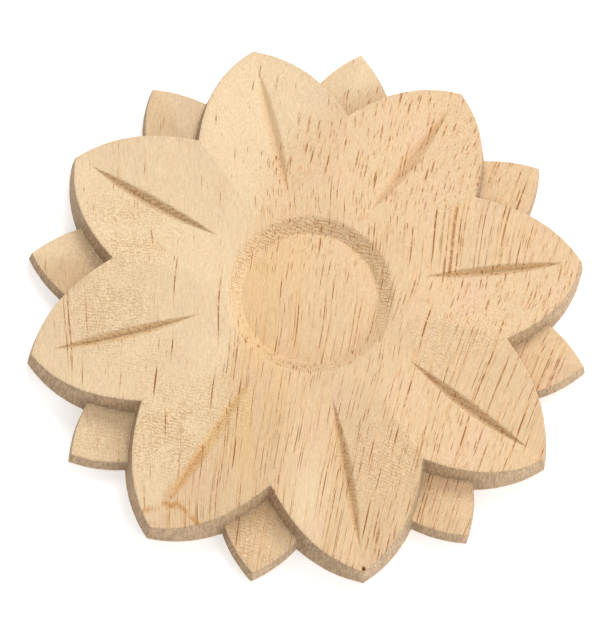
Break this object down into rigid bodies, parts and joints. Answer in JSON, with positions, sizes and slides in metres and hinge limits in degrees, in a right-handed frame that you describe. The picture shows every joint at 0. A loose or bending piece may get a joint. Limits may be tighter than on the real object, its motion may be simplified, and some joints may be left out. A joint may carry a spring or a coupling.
{
  "type": "carved wooden rosette applique",
  "caption": "Round carved wooden flower rosette with a front and a back row of pointed petals, vein grooves and a dished, domed centre, glued flat to furniture as an ornament.",
  "frame": {"origin": "centre of the flat back face, on the rosette's axis", "axes": "+Z out of the carved face along the rosette's axis, +X along one front petal, +Y along the front petal a quarter turn from it"},
  "size_m": [0.0812, 0.0812, 0.0093],
  "materials": {
    "carved_wood": "bare sanded pale hardwood, matt"
  },
  "bodies": {
    "root": {"carved_rosette": "carved_wood"}
  },
  "joints": []
}
